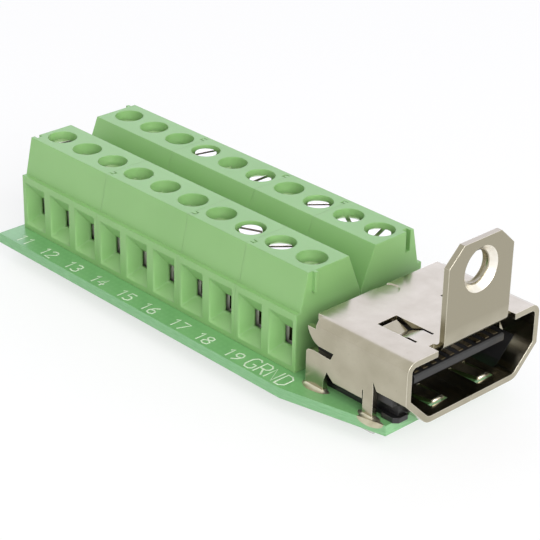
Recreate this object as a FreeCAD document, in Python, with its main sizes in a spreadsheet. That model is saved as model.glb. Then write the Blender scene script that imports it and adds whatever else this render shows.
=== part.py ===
import FreeCAD, Part
import Sketcher
import math
import os
import re

# Breakout adapter: a panel-type audio/video receptacle on a green circuit board, wired to
# two rows of ten small screw terminals. Millimetres, +Z up, +X out of the receptacle's
# mouth, origin under the middle of the bounding box, on the tips of the solder pins.

Vector = FreeCAD.Vector
doc = FreeCAD.newDocument("terminal_adapter")
sheet = doc.addObject("Spreadsheet::Sheet", "Dims")

# Poles in each terminal block module, from the board's plain end to the receptacle.
MODULE_POLES = (3, 3, 2, 2)
POLES = sum(MODULE_POLES)
UPPER_CONTACTS = 10

# Driving dimensions in millimetres.
SIZES = {
    # Layout along and across the board
    "pole_spacing": 3.5, "board_margin": 0.48, "shell_gap": 1.57, "mouth_overhang": 1.9,
    "print_margin": 2.45, "row_gap": 0.1, "nose_start": 0.82, "nose_inset": 0.05,
    "board_thick": 0.9, "tail_reach": 1.6, "pin_hole_radius": 0.65, "leg_slot_gap": 0.1,
    # Terminal housing, measured from a screw hole's centre and from the board
    "housing_front": 3.25, "housing_back": 3.75, "housing_height": 8.4, "lower_height": 5.1,
    "ledge_depth": 0.45, "slope_depth": 1.15, "back_slope_depth": 1.45, "back_height": 4.9,
    "screw_well_radius": 1.28, "tongue_width": 0.3, "tongue_reach": 0.35, "tongue_drop": 1.75,
    "tongue_place": 1.5, "tongue_gap": 0.1, "funnel_depth": 1.1, "funnel_half": 1.35,
    "funnel_top": 4.5, "funnel_sill": 0.45, "entry_half": 0.7, "entry_bottom": 1.38,
    "entry_top": 3.0, "entry_wall": 0.2,
    # Wire clamp inside each pole
    "clamp_width": 2.5, "clamp_length": 2.8, "clamp_lift": 0.85, "clamp_floor": 0.4,
    "clamp_wall": 0.38, "clamp_window": 2.45, "clamp_roof": 1.0, "clamp_gap": 0.06,
    "plate_thick": 0.35, "plate_side_gap": 0.1, "plate_length": 2.6, "plate_chamfer": 0.15,
    "dimple_depth": 0.08, "tip_gap": 0.03,
    "pin_width": 0.9, "pin_depth": 0.6, "pin_point_length": 0.4,
    # Clamp screw
    "head_radius": 1.05, "head_height": 1.1, "head_chamfer": 0.12, "shank_radius": 0.85,
    "tip_height": 3.75, "shank_clearance": 0.05, "tip_chamfer": 0.2, "slot_width": 0.36,
    "slot_depth": 0.5,
    # Receptacle shell, a folded sheet. A reach is measured back from the mouth
    "sheet": 0.5, "shell_half": 7.45, "shell_lift": 0.12, "shell_height": 5.88,
    "shell_length": 10.45, "bend_radius": 0.9, "flare_height": 2.38, "flare_width": 2.4,
    "flare_bend": 1.2,
    "top_setback": 0.45, "floor_reach": 4.85, "flare_reach": 1.75, "floor_seam": 0.06,
    "bend_notch_length": 0.5, "bend_notch_width": 0.75, "joint_lap": 0.1,
    "leg_past_board": 0.35, "rear_leg_width": 1.9, "front_leg_reach": 4.35,
    "front_leg_width": 1.03, "leg_slit": 0.1, "slit_height": 0.75, "foot_height": 1.28,
    "rear_slit_width": 1.05, "rear_slit_height": 0.62, "rear_slit_peak": 0.35,
    "rear_slit_drop": 0.3, "relief_width": 0.35, "relief_height": 0.65, "relief_slope": 0.05,
    "finger_root_reach": 2.0, "finger_length": 3.63, "finger_inner": 2.7,
    "finger_width": 1.6, "finger_slit": 0.25, "finger_drop": 0.62, "finger_bend": 0.9,
    "finger_rise_length": 1.2, "finger_tip_drop": 0.2,
    "window_reach": 0.95, "window_length": 2.9, "window_half": 0.95, "window_place": 2.6,
    "spring_half": 0.6, "spring_rise": 0.5, "spring_flat": 0.3, "spring_gap": 0.25,
    "spring_tip_thick": 0.3,
    # Screw ear at the mouth
    "ear_half": 3.6, "ear_top": 13.9, "ear_shoulder": 12.45, "ear_top_half": 2.05,
    "ear_hole_height": 11.35, "ear_hole_radius": 1.42, "ear_bend": 0.4, "ear_entry": 0.45,
    "collar_wall": 0.35, "collar_reach": 0.6, "relief_left": 0.6, "relief_right": 0.95,
    "relief_depth": 1.0,
    # Insulator and contacts
    "body_start": 0.75, "body_reach": 5.85, "body_gap": 0.05,
    "foot_inset": 1.25, "foot_step": 1.45, "rail_height": 0.4, "rail_inset": 1.0,
    "filler_inset": 2.2, "filler_gap": 0.08, "base_thick": 0.45,
    "base_inset": 0.7, "base_inner_inset": 2.0, "base_reach": 1.5, "base_corner": 0.35,
    "tongue_setback": 1.4,
    "tongue_half": 5.1, "tongue_bottom": 2.85, "tongue_thick": 0.75, "tongue_bevel": 0.12,
    "contact_spacing": 1.0, "contact_width": 0.45, "contact_thick": 0.2, "contact_inset": 0.35,
    "blade_root": 0.5, "blade_rise": 0.04, "tail_width": 0.26, "tail_foot": 1.2, "tail_gap": 0.1,
    # Solder
    "cone_base_radius": 1.05, "cone_tip_radius": 0.55, "cone_height": 0.9,
    "leg_solder_margin": 0.3, "leg_solder_height": 0.25,
}

# How far each screw head lies below the block's top, and how its slot is turned, in the
# order of the poles from the board's plain end. The front row faces -Y.
FRONT_SINK = (0.55, 0.80, 0.72, 0.80, 0.83, 0.85, 0.85, 0.17, 0.37, 0.82)
REAR_SINK = (0.75, 0.72, 0.93, 0.18, 0.73, 0.33, 0.84, 0.27, 0.43, 0.29)
FRONT_SLOT = (81, 140, 20, 138, 141, 135, 70, 25, 50, 78)
REAR_SLOT = (60, 80, 15, 76, 130, 92, 35, 50, 147, 111)
for pole in range(POLES):
    SIZES[f"front_sink_{pole + 1}"] = FRONT_SINK[pole]
    SIZES[f"rear_sink_{pole + 1}"] = REAR_SINK[pole]

# Rear edge of the shell's side wall, with the open slot in it: how far forward of the wall's
# rear end each point lies, and how far below the roof's bend, from the top down.
WALL_FORWARD = (0.1, 0.15, 0.38, 0.69, 1.25, 2.91, 2.6, 0.75, 0.2, 0)
WALL_DROP = (0, 0.25, 0.66, 1.04, 1.33, 1.36, 1.99, 1.9, 2.0, 2.2)
for point in range(len(WALL_DROP)):
    SIZES[f"wall_forward_{point}"] = WALL_FORWARD[point]
    SIZES[f"wall_drop_{point}"] = WALL_DROP[point]

for line, (name, value) in enumerate(SIZES.items(), start=1):
    sheet.set(f"A{line}", name)
    sheet.set(f"B{line}", str(value))
    sheet.setAlias(f"B{line}", name)
doc.recompute()


def bound(text):
    """The expression with the sheet's name put before each of its sizes."""
    def with_sheet(word):
        return "Dims." + word.group() if word.group() in SIZES else word.group()

    return re.sub(r"[a-z]\w*", with_sheet, str(text))


def size(text):
    """The value of an expression of the sheet's sizes."""
    return float(sheet.evalExpression(str(text)))


def bind(thing, **expressions):
    """Binds properties to expressions; Base__x stands for Placement.Base.x and so on."""
    for name, text in expressions.items():
        thing.setExpression(name.replace("__", "."), bound(text))


# Places that several pieces share, as expressions.
BOARD_TOP = "(tail_reach + board_thick)"
ROW_LENGTH = f"({POLES} * pole_spacing)"
TOTAL_LENGTH = f"(board_margin + {ROW_LENGTH} + shell_gap + shell_length)"
LEFT_END = f"(-{TOTAL_LENGTH} / 2)"
BOARD_LENGTH = f"({TOTAL_LENGTH} - mouth_overhang)"
FIRST_POLE = f"({LEFT_END} + board_margin + pole_spacing / 2)"
BLOCK_END = f"({LEFT_END} + board_margin + {ROW_LENGTH})"
SHELL_START = f"({BLOCK_END} + shell_gap)"
ROW_Y = "(housing_back + row_gap / 2)"
BOARD_HALF = f"({ROW_Y} + housing_front + print_margin)"
SHELL_TOP = "(shell_lift + shell_height)"
BEND_START = f"({SHELL_TOP} - bend_radius)"
FLARE_TOP = "(shell_lift + flare_height)"
FLOOR_HALF = "(shell_half - flare_width)"
FLOOR_EDGE = f"({FLOOR_HALF} - flare_bend / 2)"
FRONT_LEG = "(shell_length - front_leg_reach)"
FLARE_START = "(shell_length - flare_reach)"
BODY_END = "(shell_length - body_reach)"
TONGUE_END = "(shell_length - tongue_setback)"
CLAMP_TOP = "(clamp_lift + clamp_floor + clamp_window + clamp_roof)"
WINDOW_TOP = "(clamp_lift + clamp_floor + clamp_window)"
SHANK_LENGTH = "(housing_height - head_height - tip_height)"
LEG_BOTTOM = "(-board_thick - leg_past_board)"


def pole_x(index):
    return f"({FIRST_POLE} + {index} * pole_spacing)"


def make_body(label, x="0", y="0", z="0", turned=False):
    """An empty body for one sub-part, placed by expressions and turned half round if asked."""
    body = doc.addObject("PartDesign::Body", label)
    body.Label = label
    body.AllowCompound = True
    bind(body, Placement__Base__x=x, Placement__Base__y=y, Placement__Base__z=z)
    if turned:
        body.Placement.Rotation = FreeCAD.Rotation(Vector(0, 0, 1), 180)
    return body


def origin_feature(body, role):
    return [item for item in body.Origin.OriginFeatures if item.Role == role][0]


def make_sketch(body, name, plane, offset="0"):
    """A sketch on one of the body's own planes, moved out along the plane's normal."""
    sketch = body.newObject("Sketcher::SketchObject", name)
    sketch.AttachmentSupport = [(origin_feature(body, plane), "")]
    sketch.MapMode = "FlatFace"
    bind(sketch, AttachmentOffset__Base__z=offset)
    return sketch


def pin_point(sketch, edge, end, point):
    """Holds one end of an edge at a point given by two expressions."""
    for kind, text in zip(("DistanceX", "DistanceY"), point):
        place = sketch.addConstraint(Sketcher.Constraint(kind, -1, 1, edge, end, size(text)))
        sketch.setExpression(f"Constraints[{place}]", bound(text))


def outline(sketch, points):
    """A closed outline of straight edges through points, each a pair of expressions."""
    places = [Vector(size(x), size(y), 0) for x, y in points]
    first = sketch.GeometryCount
    for index, place in enumerate(places):
        following = places[(index + 1) % len(places)]
        sketch.addGeometry(Part.LineSegment(place, following), False)
    for index in range(len(places)):
        following = (index + 1) % len(places)
        sketch.addConstraint(Sketcher.Constraint("Coincident", first + index, 2, first + following, 1))
    for index, point in enumerate(points):
        pin_point(sketch, first + index, 1, point)


def rectangle(sketch, low_x, low_y, high_x, high_y):
    outline(sketch, [(low_x, low_y), (high_x, low_y), (high_x, high_y), (low_x, high_y)])


def ring(sketch, x, y, radius):
    """A circle about a point given by expressions."""
    centre = Vector(size(x), size(y), 0)
    edge = sketch.addGeometry(Part.Circle(centre, Vector(0, 0, 1), size(radius)), False)
    pin_point(sketch, edge, 3, (x, y))
    place = sketch.addConstraint(Sketcher.Constraint("Radius", edge, size(radius)))
    sketch.setExpression(f"Constraints[{place}]", bound(radius))


def pad(body, sketch, length, reverse=False, both_ways=False):
    """Adds the sketch's area, drawn out along its normal."""
    feature = body.newObject("PartDesign::Pad", f"{sketch.Name}_pad")
    feature.Profile = sketch
    feature.Reversed = reverse
    if both_ways:
        feature.SideType = "Symmetric"
    bind(feature, Length=length)
    return feature


def pocket(body, sketch, length, reverse=False, both_ways=False):
    """Takes the sketch's area away, against its normal, and checks that it cut something."""
    doc.recompute()
    before = body.Shape.Volume
    feature = body.newObject("PartDesign::Pocket", f"{sketch.Name}_pocket")
    feature.Profile = sketch
    feature.Reversed = reverse
    if both_ways:
        feature.SideType = "Symmetric"
    bind(feature, Length=length)
    doc.recompute()
    if body.Shape.Volume >= before - 1e-6:
        raise RuntimeError(f"{feature.Name} cuts nothing")
    return feature


def repeat(body, features, count, step):
    """Repeats features along the body's X axis."""
    pattern = body.newObject("PartDesign::LinearPattern", f"{body.Name}_row")
    pattern.Originals = features
    pattern.Direction = (origin_feature(body, "X_Axis"), [""])
    pattern.Occurrences = count
    bind(pattern, Length=f"{step} * {count - 1}")
    body.Tip = pattern
    return pattern


def mirrored(body, features, plane="XZ_Plane"):
    """Mirrors features about one of the body's planes."""
    mirror = body.newObject("PartDesign::Mirrored", f"{body.Name}_mirror")
    mirror.Originals = features
    mirror.MirrorPlane = (origin_feature(body, plane), [""])
    body.Tip = mirror
    return mirror


def pick_edges(body, chosen):
    """The tip of the body and the names of those of its edges that pass the test."""
    doc.recompute()
    base = body.Tip
    names = []
    for number, edge in enumerate(base.Shape.Edges, start=1):
        middle = edge.valueAt((edge.FirstParameter + edge.LastParameter) / 2)
        if chosen(edge, middle):
            names.append(f"Edge{number}")
    return base, names


def round_edges(body, radius, chosen):
    """Fillets the edges of the body whose middle point passes the test."""
    edges = pick_edges(body, chosen)
    fillet = body.newObject("PartDesign::Fillet", f"{body.Name}_fillet")
    fillet.Base = edges
    bind(fillet, Radius=radius)
    return fillet


def cut_edges(body, width, chosen):
    """Chamfers the edges of the body whose middle point passes the test."""
    edges = pick_edges(body, chosen)
    chamfer = body.newObject("PartDesign::Chamfer", f"{body.Name}_chamfer")
    chamfer.Base = edges
    bind(chamfer, Size=width)
    return chamfer


def near(value, text):
    return abs(value - size(text)) < 1e-4


def runs_along(edge, axis):
    """True for a straight edge parallel to an axis, given as x, y or z."""
    if edge.Curve.TypeId != "Part::GeomLine":
        return False
    return abs(abs(getattr(edge.Curve.Direction, axis)) - 1) < 1e-6


def is_circle(edge, radius):
    """True for a round edge of a radius given by an expression."""
    return edge.Curve.TypeId == "Part::GeomCircle" and near(edge.Curve.Radius, radius)


# Circuit board: a glass-fibre board with a tapered nose under the receptacle.
board = make_body("circuit_board", x=LEFT_END, z="tail_reach")
nose_x = f"(board_margin + {ROW_LENGTH} + nose_start)"
nose_half = "(shell_half - nose_inset)"
board_outline = make_sketch(board, "board_outline", "XY_Plane")
outline(board_outline, [
    ("0", f"-{BOARD_HALF}"), (nose_x, f"-{BOARD_HALF}"), (BOARD_LENGTH, f"-{nose_half}"),
    (BOARD_LENGTH, nose_half), (nose_x, BOARD_HALF), ("0", BOARD_HALF)])
pad(board, board_outline, "board_thick")
board_slots = make_sketch(board, "leg_slots", "XY_Plane", "board_thick")
shell_in_board = f"({BOARD_LENGTH} + mouth_overhang - shell_length)"
for side in ("-", ""):
    for start, width in (("0", "rear_leg_width"), (FRONT_LEG, "front_leg_width")):
        near_y = f"{side}(shell_half - sheet - leg_slot_gap)"
        far_y = f"{side}(shell_half + leg_slot_gap)"
        rectangle(board_slots, f"{shell_in_board} + {start} - leg_slot_gap", near_y,
                  f"{shell_in_board} + {start} + {width} + leg_slot_gap", far_y)
pocket(board, board_slots, "board_thick")
pin_holes = make_sketch(board, "pin_holes", "XY_Plane", "board_thick")
for side in ("-", ""):
    ring(pin_holes, "board_margin + pole_spacing / 2", f"{side}{ROW_Y}", "pin_hole_radius")
repeat(board, [pocket(board, pin_holes, "board_thick")], POLES, "pole_spacing")


def housing_module(label, poles, first, front):
    """One moulded block of a few poles, from the hole centre of its first pole."""
    start = first if front else first + poles - 1
    body = make_body(label, x=pole_x(start), y=f"-{ROW_Y}" if front else ROW_Y,
                     z=BOARD_TOP, turned=not front)
    profile = make_sketch(body, f"{label}_profile", "YZ_Plane", "-pole_spacing / 2")
    outline(profile, [
        ("-housing_front", "0"), ("housing_back", "0"), ("housing_back", "back_height"),
        ("housing_back - back_slope_depth", "housing_height"),
        ("slope_depth - housing_front", "housing_height"),
        ("ledge_depth - housing_front", "lower_height"), ("-housing_front", "lower_height")])
    pad(body, profile, f"{poles} * pole_spacing")
    # Tongue on one end and the groove that takes the next module's tongue on the other
    tongue = make_sketch(body, f"{label}_tongue", "YZ_Plane", f"{poles} * pole_spacing - pole_spacing / 2")
    rectangle(tongue, "-tongue_place - tongue_width / 2", "housing_height - tongue_drop",
              "-tongue_place + tongue_width / 2", "housing_height")
    pad(body, tongue, "tongue_reach")
    groove = make_sketch(body, f"{label}_groove", "YZ_Plane", "-pole_spacing / 2")
    rectangle(groove, "-tongue_place - tongue_width / 2 - tongue_gap",
              "housing_height - tongue_drop - tongue_gap",
              "-tongue_place + tongue_width / 2 + tongue_gap", "housing_height")
    pocket(body, groove, "tongue_reach + tongue_gap", reverse=True)
    # Screw well, clamp chamber and wire entry of one pole, then the same for the others
    well = make_sketch(body, f"{label}_well", "XY_Plane", "housing_height")
    ring(well, "0", "0", "screw_well_radius")
    chamber = make_sketch(body, f"{label}_chamber", "XY_Plane")
    rectangle(chamber, "-clamp_width / 2 - clamp_gap", "funnel_depth + entry_wall - housing_front",
              "clamp_width / 2 + clamp_gap", "clamp_length / 2 + clamp_gap")
    mouth = make_sketch(body, f"{label}_funnel_mouth", "XZ_Plane", "housing_front")
    rectangle(mouth, "-funnel_half", "funnel_sill", "funnel_half", "funnel_top")
    throat = make_sketch(body, f"{label}_funnel_throat", "XZ_Plane", "housing_front - funnel_depth")
    rectangle(throat, "-entry_half", "entry_bottom", "entry_half", "entry_top")
    entry = make_sketch(body, f"{label}_entry", "XZ_Plane", "housing_front - funnel_depth / 2")
    rectangle(entry, "-entry_half", "entry_bottom", "entry_half", "entry_top")
    cuts = [pocket(body, well, f"housing_height - {CLAMP_TOP}")]
    cuts.append(pocket(body, chamber, f"{CLAMP_TOP} + clamp_gap", reverse=True))
    funnel = body.newObject("PartDesign::SubtractiveLoft", f"{label}_funnel")
    funnel.Profile = mouth
    funnel.Sections = [throat]
    cuts.append(funnel)
    cuts.append(pocket(body, entry, "housing_front - funnel_depth / 2"))
    repeat(body, cuts, poles, "pole_spacing")
    return body


first_pole = 0
for number, poles in enumerate(MODULE_POLES, start=1):
    housing_module(f"terminal_housing_front_{number}", poles, first_pole, True)
    housing_module(f"terminal_housing_rear_{number}", poles, first_pole, False)
    first_pole += poles


def row_place(index, front):
    """Placement expressions for a piece of one pole, from its hole centre on the board."""
    return {"x": pole_x(index), "y": f"-{ROW_Y}" if front else ROW_Y, "z": BOARD_TOP,
            "turned": not front}


def clamp_frames(label, front):
    """Bent metal frames that hold the wires, one for each pole of a row."""
    body = make_body(label, **row_place(0 if front else POLES - 1, front))
    section = make_sketch(body, f"{label}_section", "XZ_Plane")
    rectangle(section, "-clamp_width / 2", "clamp_lift", "clamp_width / 2", CLAMP_TOP)
    rectangle(section, "clamp_wall - clamp_width / 2", "clamp_lift + clamp_floor",
              "clamp_width / 2 - clamp_wall", WINDOW_TOP)
    frame = pad(body, section, "clamp_length", both_ways=True)
    hole = make_sketch(body, f"{label}_hole", "XY_Plane", CLAMP_TOP)
    ring(hole, "0", "0", "shank_radius + shank_clearance")
    repeat(body, [frame, pocket(body, hole, "clamp_roof")], POLES, "pole_spacing")
    return body


def solder_pins(label, front):
    """Tinned pins from the clamp frames down through the board, with tapered tips."""
    body = make_body(label, **row_place(0 if front else POLES - 1, front))
    pin = make_sketch(body, f"{label}_face", "XZ_Plane")
    outline(pin, [
        ("-pin_width / 2", "clamp_lift"), ("-pin_width / 2", f"pin_point_length - {BOARD_TOP}"),
        ("-pin_width / 4", f"-{BOARD_TOP}"), ("pin_width / 4", f"-{BOARD_TOP}"),
        ("pin_width / 2", f"pin_point_length - {BOARD_TOP}"), ("pin_width / 2", "clamp_lift")])
    repeat(body, [pad(body, pin, "pin_depth", both_ways=True)], POLES, "pole_spacing")
    return body


def clamp_plate(label, index, front, sink):
    """The pressure plate under one screw's tip, on top of the wire."""
    place = row_place(index, front)
    place["z"] = f"{BOARD_TOP} + tip_height - {sink}"
    body = make_body(label, **place)
    side = make_sketch(body, f"{label}_side", "YZ_Plane")
    top = "(dimple_depth - tip_gap)"
    low = f"({top} - plate_thick)"
    outline(side, [
        ("-plate_length / 2", top), ("-plate_length / 2", f"{low} + plate_chamfer"),
        ("plate_chamfer - plate_length / 2", low), ("plate_length / 2 - plate_chamfer", low),
        ("plate_length / 2", f"{low} + plate_chamfer"), ("plate_length / 2", top)])
    pad(body, side, "clamp_width - 2 * clamp_wall - 2 * plate_side_gap", both_ways=True)
    dimple = make_sketch(body, f"{label}_dimple", "XY_Plane", top)
    ring(dimple, "0", "0", "shank_radius - tip_chamfer + plate_side_gap")
    pocket(body, dimple, "dimple_depth")
    return body


def clamp_screw(label, index, front, sink, slot_angle):
    """A slotted screw whose head is sunk in its well; the body's origin is the tip."""
    place = row_place(index, front)
    place["z"] = f"{BOARD_TOP} + tip_height - {sink}"
    body = make_body(label, x=place["x"], y=place["y"], z=place["z"])
    body.Placement.Rotation = FreeCAD.Rotation(Vector(0, 0, 1), slot_angle)
    half = make_sketch(body, f"{label}_half", "XZ_Plane")
    top = f"({SHANK_LENGTH} + head_height)"
    outline(half, [
        ("0", "0"), ("shank_radius - tip_chamfer", "0"), ("shank_radius", "tip_chamfer"),
        ("shank_radius", SHANK_LENGTH), ("head_radius", SHANK_LENGTH),
        ("head_radius", f"{top} - head_chamfer"), ("head_radius - head_chamfer", top),
        ("0", top)])
    turned = body.newObject("PartDesign::Revolution", f"{label}_turned")
    turned.Profile = half
    turned.ReferenceAxis = (origin_feature(body, "Z_Axis"), [""])
    turned.Angle = 360
    slot = make_sketch(body, f"{label}_slot", "XY_Plane", top)
    rectangle(slot, "-head_radius - head_chamfer", "-slot_width / 2",
              "head_radius + head_chamfer", "slot_width / 2")
    pocket(body, slot, "slot_depth")
    return body


for row, front, slots in (("front", True, FRONT_SLOT), ("rear", False, REAR_SLOT)):
    clamp_frames(f"clamp_frames_{row}", front)
    solder_pins(f"solder_pins_{row}", front)
    for pole in range(POLES):
        sink = f"{row}_sink_{pole + 1}"
        clamp_plate(f"pressure_plate_{row}_{pole + 1}", pole, front, sink)
        clamp_screw(f"clamp_screw_{row}_{pole + 1}", pole, front, sink, slots[pole])

# Receptacle shell: one folded sheet. Its own X starts at the rear edge of the side walls.
shell = make_body("receptacle_shell", x=SHELL_START, z=BOARD_TOP)
inner_half = "(shell_half - sheet)"
roof_section = make_sketch(shell, "roof_section", "YZ_Plane", "top_setback")
roof_low = f"({BEND_START} - sheet / 2)"
outline(roof_section, [
    ("-shell_half", roof_low), (f"-{inner_half}", roof_low),
    (f"-{inner_half}", f"{SHELL_TOP} - sheet"), (inner_half, f"{SHELL_TOP} - sheet"),
    (inner_half, roof_low), ("shell_half", roof_low), ("shell_half", SHELL_TOP),
    ("-shell_half", SHELL_TOP)])
pad(shell, roof_section, "shell_length - top_setback")
round_edges(shell, "bend_radius", lambda edge, middle: runs_along(edge, "x")
            and near(abs(middle.y), "shell_half") and near(middle.z, SHELL_TOP))
round_edges(shell, "bend_radius - sheet", lambda edge, middle: runs_along(edge, "x")
            and near(abs(middle.y), inner_half) and near(middle.z, f"{SHELL_TOP} - sheet"))

# Side wall with its ear, open slot, soldered legs and relief slits, as seen from outside
wall = make_sketch(shell, "side_wall", "XZ_Plane", "shell_half")
leg_right = f"({FRONT_LEG} + front_leg_width)"
wall_points = [(f"wall_forward_{point}", f"{BEND_START} - wall_drop_{point}")
               for point in range(len(WALL_DROP))]
outline(wall, wall_points + [
    ("0", LEG_BOTTOM), ("rear_leg_width", LEG_BOTTOM),
    ("rear_leg_width", "foot_height - rear_slit_drop"),
    ("rear_leg_width + rear_slit_peak", "foot_height + rear_slit_height"),
    ("rear_leg_width + rear_slit_width", "foot_height"),
    (f"{FRONT_LEG} - leg_slit", "foot_height"),
    (f"{FRONT_LEG} - leg_slit", "foot_height + slit_height"),
    (FRONT_LEG, "foot_height + slit_height"), (FRONT_LEG, LEG_BOTTOM),
    (leg_right, LEG_BOTTOM), (leg_right, FLARE_TOP),
    (f"{leg_right} - relief_slope", f"{FLARE_TOP} + relief_height"),
    (f"{leg_right} + relief_width", FLARE_TOP), ("shell_length", FLARE_TOP),
    ("shell_length", BEND_START)])
wall_pad = pad(shell, wall, "sheet", reverse=True)
mirrored(shell, [wall_pad])

# Floor with its flared sides, which are short and lie at the mouth
flare = make_sketch(shell, "flare_section", "YZ_Plane", FLARE_START)
bevel = "(sheet * (sqrt(2) - 1))"
outline(flare, [
    ("-shell_half", FLARE_TOP), (f"-{FLOOR_HALF}", "shell_lift"), (FLOOR_HALF, "shell_lift"),
    ("shell_half", FLARE_TOP), (inner_half, f"{FLARE_TOP} + {bevel}"),
    (f"{FLOOR_HALF} - {bevel}", "shell_lift + sheet"),
    (f"{bevel} - {FLOOR_HALF}", "shell_lift + sheet"),
    (f"-{inner_half}", f"{FLARE_TOP} + {bevel}")])
pad(shell, flare, "flare_reach")
round_edges(shell, "flare_bend", lambda edge, middle: runs_along(edge, "x")
            and near(abs(middle.y), FLOOR_HALF) and near(middle.z, "shell_lift"))
round_edges(shell, "flare_bend - sheet", lambda edge, middle: runs_along(edge, "x")
            and near(abs(middle.y), f"{FLOOR_HALF} - {bevel}")
            and near(middle.z, "shell_lift + sheet"))
floor = make_sketch(shell, "floor_plate", "XY_Plane", "shell_lift")
rectangle(floor, "shell_length - floor_reach", f"-{FLOOR_EDGE}", "shell_length", FLOOR_EDGE)
pad(shell, floor, "sheet")

# Slots round the roof fingers, the rear corner relief, and the opening for the ear's bend
slots = make_sketch(shell, "roof_slots", "XY_Plane", SHELL_TOP)
finger_root = "(shell_length - finger_root_reach)"
finger_tip = f"({finger_root} - finger_length)"
for side in ("-", ""):
    rectangle(slots, f"{finger_tip} - finger_slit", f"{side}(finger_inner - finger_slit)",
              finger_root, f"{side}(finger_inner + finger_width + finger_slit)")
    rectangle(slots, "top_setback", f"{side}(shell_half - bend_notch_width)",
              "top_setback + bend_notch_length", f"{side}(shell_half + sheet)")
rectangle(slots, "shell_length - relief_depth", "-ear_half - relief_left",
          "shell_length + sheet", "ear_half + relief_right")
pocket(shell, slots, "bend_radius")
finger = make_sketch(shell, "roof_finger", "XZ_Plane", "finger_inner")
finger_low = f"({finger_tip} + finger_rise_length)"
outline(finger, [
    (finger_tip, f"{SHELL_TOP} - sheet - finger_tip_drop"),
    (finger_low, f"{SHELL_TOP} - sheet - finger_drop"),
    (f"{finger_root} - finger_bend", f"{SHELL_TOP} - sheet"),
    (f"{finger_root} + joint_lap", f"{SHELL_TOP} - sheet"), (f"{finger_root} + joint_lap", SHELL_TOP),
    (f"{finger_root} - finger_bend", SHELL_TOP), (finger_low, f"{SHELL_TOP} - finger_drop"),
    (finger_tip, f"{SHELL_TOP} - finger_tip_drop")])
mirrored(shell, [pad(shell, finger, "finger_width")])

# Openings in the floor, each with a spring that rises into the mouth, and the seam
windows = make_sketch(shell, "floor_windows", "XY_Plane", "shell_lift + sheet")
window_end = "(shell_length - window_reach)"
window_start = f"({window_end} - window_length)"
for side in ("-", ""):
    rectangle(windows, window_start, f"{side}(window_place - window_half)",
              window_end, f"{side}(window_place + window_half)")
rectangle(windows, "shell_length - floor_reach - sheet", "-floor_seam / 2",
          "shell_length + sheet", "floor_seam / 2")
pocket(shell, windows, "sheet + shell_lift")
spring = make_sketch(shell, "floor_spring", "XZ_Plane", "window_place - spring_half")
outline(spring, [
    (f"{window_start} - joint_lap", "shell_lift"), (f"{window_start} + spring_flat", "shell_lift"),
    (f"{window_end} - spring_gap", "shell_lift + spring_rise"),
    (f"{window_end} - spring_gap", "shell_lift + spring_rise + spring_tip_thick"),
    (f"{window_start} + spring_flat", "shell_lift + sheet"),
    (f"{window_start} - joint_lap", "shell_lift + sheet")])
mirrored(shell, [pad(shell, spring, "2 * spring_half")])

# Screw ear, bent up from the roof at the mouth, with an extruded and tapped hole
ear_back = "(shell_length - sheet)"
ear = make_sketch(shell, "ear_bend_section", "XZ_Plane")
ear_root = "(shell_length - relief_depth - joint_lap)"
outline(ear, [
    (ear_root, f"{SHELL_TOP} - sheet"),
    ("shell_length", f"{SHELL_TOP} - sheet"), ("shell_length", "ear_top"),
    (ear_back, "ear_top"), (ear_back, SHELL_TOP), (ear_root, SHELL_TOP)])
pad(shell, ear, "2 * ear_half", both_ways=True)
round_edges(shell, "ear_bend + sheet", lambda edge, middle: runs_along(edge, "y")
            and near(middle.x, "shell_length") and near(middle.z, f"{SHELL_TOP} - sheet")
            and abs(middle.y) < size("ear_half / 2"))
round_edges(shell, "ear_bend", lambda edge, middle: runs_along(edge, "y")
            and near(middle.x, ear_back) and near(middle.z, SHELL_TOP))
corners = make_sketch(shell, "ear_corners", "YZ_Plane", "shell_length")
for side in ("-", ""):
    outline(corners, [
        (f"{side}(ear_top_half)", "ear_top + sheet"), (f"{side}(ear_top_half)", "ear_top"),
        (f"{side}(ear_half)", "ear_shoulder"), (f"{side}(ear_half + sheet)", "ear_shoulder"),
        (f"{side}(ear_half + sheet)", "ear_top + sheet")])
pocket(shell, corners, "2 * sheet")
collar = make_sketch(shell, "ear_collar", "YZ_Plane", ear_back)
ring(collar, "0", "ear_hole_height", "ear_hole_radius + collar_wall")
pad(shell, collar, "collar_reach", reverse=True)
hole = make_sketch(shell, "ear_hole", "YZ_Plane", "shell_length")
ring(hole, "0", "ear_hole_height", "ear_hole_radius")
pocket(shell, hole, "2 * sheet + collar_reach")
cut_edges(shell, "ear_entry", lambda edge, middle: near(middle.x, "shell_length")
          and is_circle(edge, "ear_hole_radius"))

# Contacts: pressed strips with a blade on the tongue and a tail that steps down to the board
drop_outer = "(body_start - tail_gap - contact_thick)"
drop_inner = "(body_start - tail_gap)"


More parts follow.
